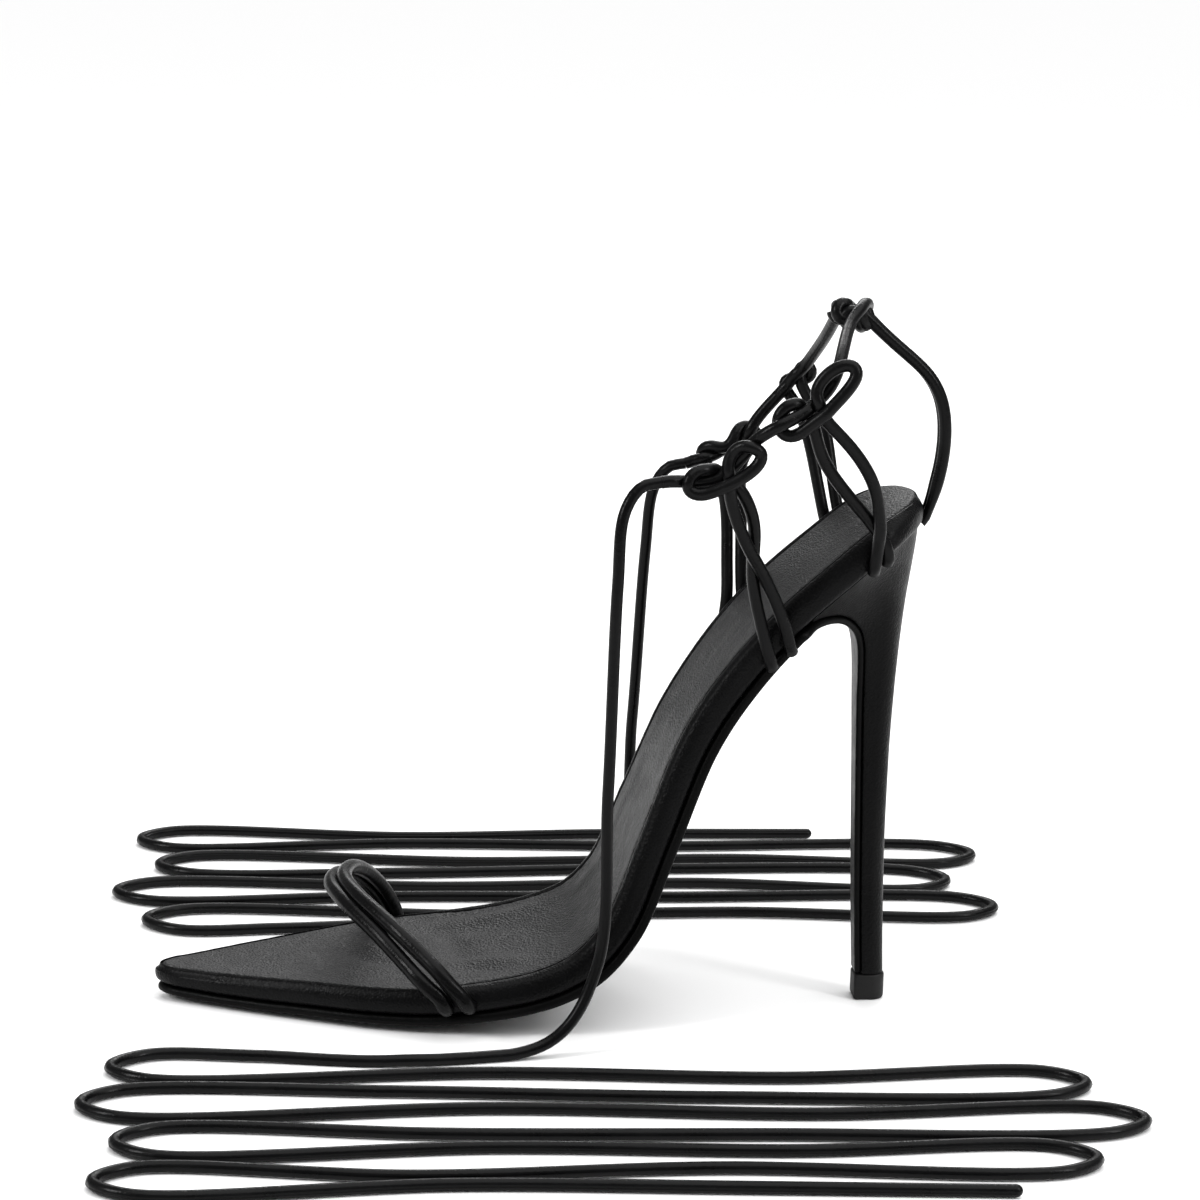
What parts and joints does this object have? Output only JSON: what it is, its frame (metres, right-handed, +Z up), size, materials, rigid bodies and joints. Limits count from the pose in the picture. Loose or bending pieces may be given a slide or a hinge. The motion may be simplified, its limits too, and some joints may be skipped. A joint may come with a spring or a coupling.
{
  "type": "stiletto sandal",
  "caption": "Stiletto sandal with two round cords over the toes, knotted cord straps at the ankle, long loose ties and a thin sole that runs down the slim heel",
  "frame": {"origin": "on the floor, under the middle of the shoe without its loose ties", "axes": "+Z up, the toe points to -Y and the heel to +Y, +X is the outer side of the left foot"},
  "size_m": [0.3017, 0.256, 0.1838],
  "materials": {
    "sole": "smooth black sole leather with a burnished edge",
    "edge": "smooth black leather wrapped round the footbed's edge, soft gloss",
    "sock": "fine-grained black lining leather, half matt",
    "heel": "smooth black leather cover, soft gloss",
    "tip": "hard black rubber, matt",
    "cord": "rolled black leather cord, smooth and glossy"
  },
  "bodies": {
    "root": {"outsole": "sole", "footbed": "edge", "insole_sock": "sock", "heel": "heel", "top_piece": "tip", "toe_strap": "cord", "ankle_straps": "cord", "tie_lateral": "cord", "tie_medial": "cord"}
  },
  "joints": []
}
